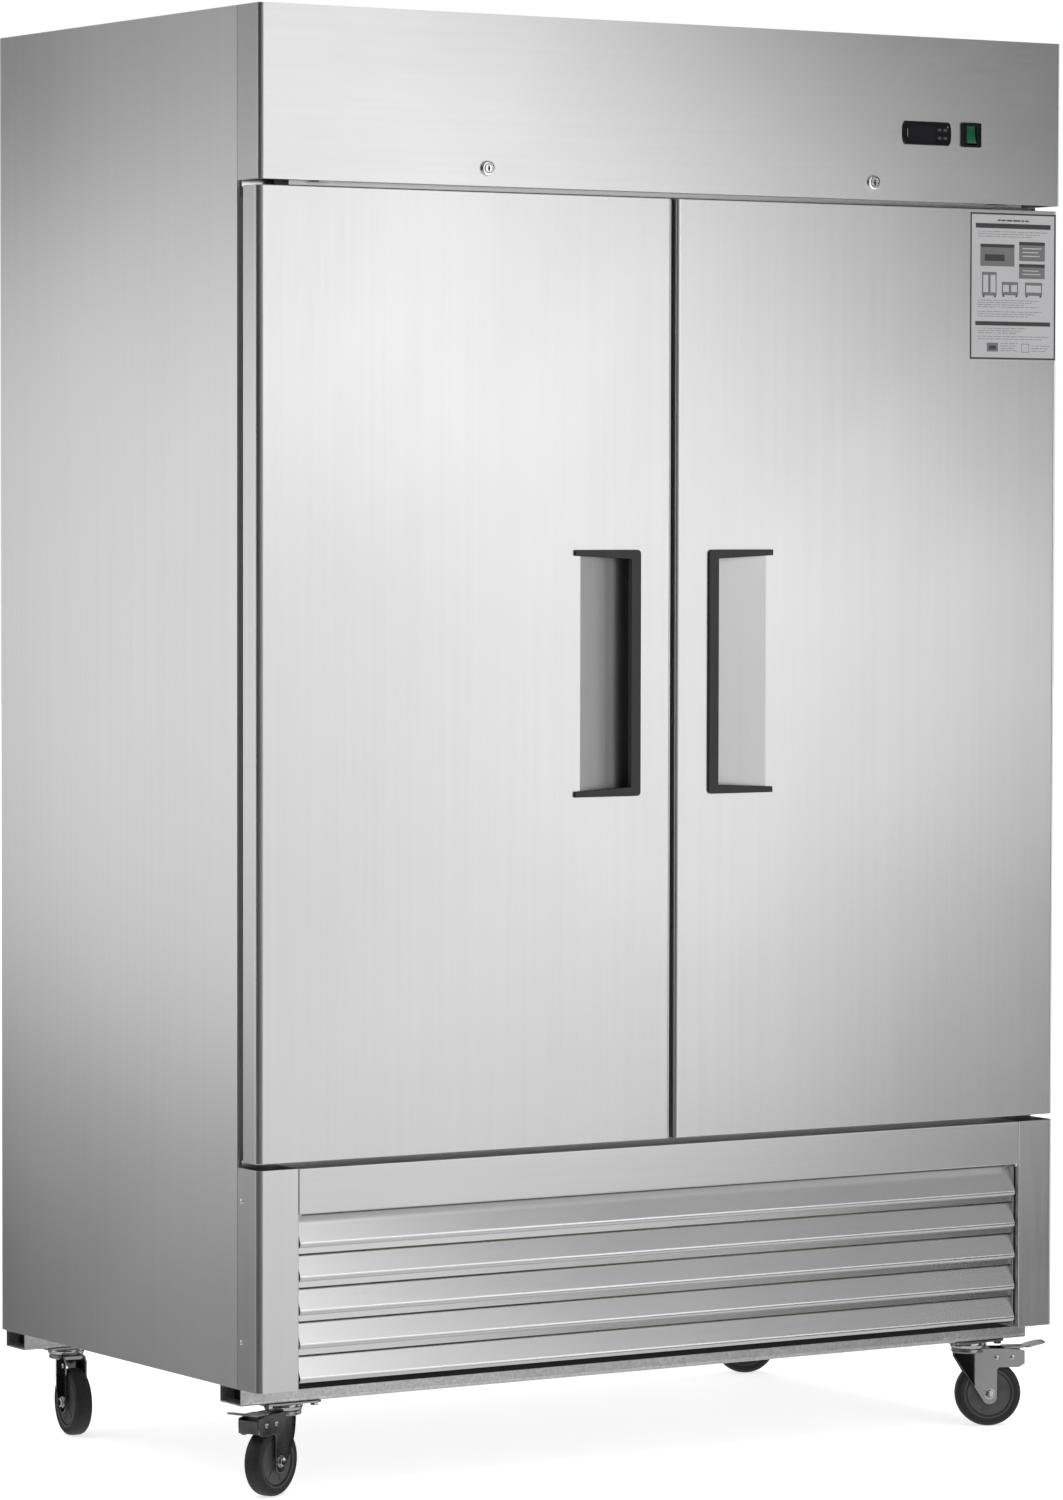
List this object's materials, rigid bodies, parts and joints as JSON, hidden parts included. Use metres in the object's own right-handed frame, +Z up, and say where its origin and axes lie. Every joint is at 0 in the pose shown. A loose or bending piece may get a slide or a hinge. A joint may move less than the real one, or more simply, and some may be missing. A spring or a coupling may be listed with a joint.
{
  "type": "reach in refrigerator",
  "caption": "Upright stainless reach-in refrigerator with swinging doors, recessed handles, header controls and a louvred machine compartment, on swivel casters.",
  "frame": {"origin": "on the floor, under the middle of the overall box", "axes": "+Z up; +X to the right of someone facing the doors; the doors face -Y and the rear skin faces +Y"},
  "size_m": [1.4182, 0.79, 2.0855],
  "materials": {
    "stainless": "brushed vertically, satin",
    "liner_steel": "fine brushed, satin",
    "galvanised": "zinc coated with a faint spangle",
    "zinc": "bright zinc plate",
    "foam": "rigid foam, hidden",
    "foamed_panel": "foam-filled inner panel with a steel-grey face",
    "black_plastic": "fine moulded grain",
    "gloss_black": "polished",
    "green_lens": "translucent, polished",
    "gasket_rubber": "matt vinyl",
    "tyre_rubber": "matt",
    "chrome": "polished",
    "black_paint": "semi-gloss",
    "aluminium": "bare",
    "shelf_wire": "epoxy coated"
  },
  "bodies": {
    "cabinet": {"left_side_panel": "stainless", "right_side_panel": "stainless", "top_panel": "stainless", "door_frame": "stainless", "header_cover": "stainless", "left_column": "stainless", "right_column": "stainless", "louver_grille": "stainless", "inner_liner": "liner_steel", "evaporator_cover": "liner_steel", "back_panel": "galvanised", "rear_cover": "galvanised", "machine_base": "galvanised", "front_cross_bar": "galvanised", "rear_cross_bar": "galvanised", "insulation_foam": "foam", "cord_gland": "black_plastic", "switch_housing": "black_plastic", "temperature_controller": "gloss_black", "left_lock_barrel": "chrome", "right_lock_barrel": "chrome", "left_lower_hinge": "zinc", "right_lower_hinge": "zinc", "left_upper_hinge": "zinc", "right_upper_hinge": "zinc", "compressor": "black_paint", "condenser": "aluminium", "left_shelf_1": "shelf_wire", "left_shelf_2": "shelf_wire", "left_shelf_3": "shelf_wire", "right_shelf_1": "shelf_wire", "right_shelf_2": "shelf_wire", "right_shelf_3": "shelf_wire", "front_left_caster_plate": "zinc", "front_right_caster_plate": "zinc", "rear_left_caster_plate": "zinc", "rear_right_caster_plate": "zinc"},
    "left_door": {"left_door_skin": "stainless", "left_door_core": "foamed_panel", "left_door_gasket": "gasket_rubber", "left_door_grip": "black_plastic"},
    "right_door": {"right_door_skin": "stainless", "right_door_core": "foamed_panel", "right_door_gasket": "gasket_rubber", "right_door_grip": "black_plastic"},
    "left_lock": {"left_lock_plug": "chrome"},
    "right_lock": {"right_lock_plug": "chrome"},
    "rocker": {"power_rocker": "green_lens"},
    "condenser_fan_rotor": {"condenser_fan": "aluminium"},
    "evaporator_fan_rotor": {"evaporator_fan": "black_plastic"},
    "front_left_fork": {"front_left_caster_fork": "zinc"},
    "front_left_wheel": {"front_left_caster_wheel": "tyre_rubber"},
    "front_left_pedal": {"front_left_brake_pedal": "zinc"},
    "front_right_fork": {"front_right_caster_fork": "zinc"},
    "front_right_wheel": {"front_right_caster_wheel": "tyre_rubber"},
    "front_right_pedal": {"front_right_brake_pedal": "zinc"},
    "rear_left_fork": {"rear_left_caster_fork": "zinc"},
    "rear_left_wheel": {"rear_left_caster_wheel": "tyre_rubber"},
    "rear_right_fork": {"rear_right_caster_fork": "zinc"},
    "rear_right_wheel": {"rear_right_caster_wheel": "tyre_rubber"}
  },
  "joints": [
    {"name": "door_left_swing", "type": "hinge", "parent": "cabinet", "child": "left_door", "pos_m": [-0.674, -0.364, 1.1566], "axis": [0, 0, -1], "range_deg": [0, 120]},
    {"name": "door_right_swing", "type": "hinge", "parent": "cabinet", "child": "right_door", "pos_m": [0.674, -0.364, 1.1566], "axis": [0, 0, 1], "range_deg": [0, 120]},
    {"name": "lock_left_turn", "type": "hinge", "parent": "cabinet", "child": "left_lock", "pos_m": [-0.3207, -0.38, 1.8682], "axis": [0, 1, 0], "range_deg": [0, 90]},
    {"name": "lock_right_turn", "type": "hinge", "parent": "cabinet", "child": "right_lock", "pos_m": [0.3458, -0.38, 1.8682], "axis": [0, -1, 0], "range_deg": [0, 90]},
    {"name": "power_rocker_tilt", "type": "hinge", "parent": "cabinet", "child": "rocker", "pos_m": [0.52195, -0.387, 1.9436], "axis": [1, 0, 0], "range_deg": [0, 16]},
    {"name": "fan_condenser_spin", "type": "hinge", "parent": "cabinet", "child": "condenser_fan_rotor", "pos_m": [-0.265, -0.185, 0.297], "axis": [0, 1, 0], "continuous": true},
    {"name": "fan_evaporator_spin", "type": "hinge", "parent": "cabinet", "child": "evaporator_fan_rotor", "pos_m": [0, -0.159, 1.956], "axis": [0, 1, 0], "continuous": true},
    {"name": "swivel_front_left", "type": "hinge", "parent": "cabinet", "child": "front_left_fork", "pos_m": [-0.598, -0.296, 0.118], "axis": [0, 0, 1], "continuous": true},
    {"name": "wheel_front_left_roll", "type": "hinge", "parent": "front_left_fork", "child": "front_left_wheel", "pos_m": [-0.62519, -0.30868, 0.05], "axis": [0.4226, -0.9063, 0], "continuous": true},
    {"name": "brake_front_left_press", "type": "hinge", "parent": "front_left_fork", "child": "front_left_pedal", "pos_m": [-0.65691, -0.32347, 0.105], "axis": [0.4226, -0.9063, 0], "range_deg": [0, 14]},
    {"name": "swivel_front_right", "type": "hinge", "parent": "cabinet", "child": "front_right_fork", "pos_m": [0.598, -0.296, 0.118], "axis": [0, 0, 1], "continuous": true},
    {"name": "wheel_front_right_roll", "type": "hinge", "parent": "front_right_fork", "child": "front_right_wheel", "pos_m": [0.62519, -0.30868, 0.05], "axis": [0.4226, 0.9063, 0], "continuous": true},
    {"name": "brake_front_right_press", "type": "hinge", "parent": "front_right_fork", "child": "front_right_pedal", "pos_m": [0.65691, -0.32347, 0.105], "axis": [0.4226, 0.9063, 0], "range_deg": [0, 14]},
    {"name": "swivel_rear_left", "type": "hinge", "parent": "cabinet", "child": "rear_left_fork", "pos_m": [-0.598, 0.36, 0.118], "axis": [0, 0, 1], "continuous": true},
    {"name": "wheel_rear_left_roll", "type": "hinge", "parent": "rear_left_fork", "child": "rear_left_wheel", "pos_m": [-0.60166, 0.33022, 0.05], "axis": [0.9925, -0.1219, 0], "continuous": true},
    {"name": "swivel_rear_right", "type": "hinge", "parent": "cabinet", "child": "rear_right_fork", "pos_m": [0.598, 0.36, 0.118], "axis": [0, 0, 1], "continuous": true},
    {"name": "wheel_rear_right_roll", "type": "hinge", "parent": "rear_right_fork", "child": "rear_right_wheel", "pos_m": [0.62398, 0.345, 0.05], "axis": [0.5, 0.866, 0], "continuous": true}
  ]
}
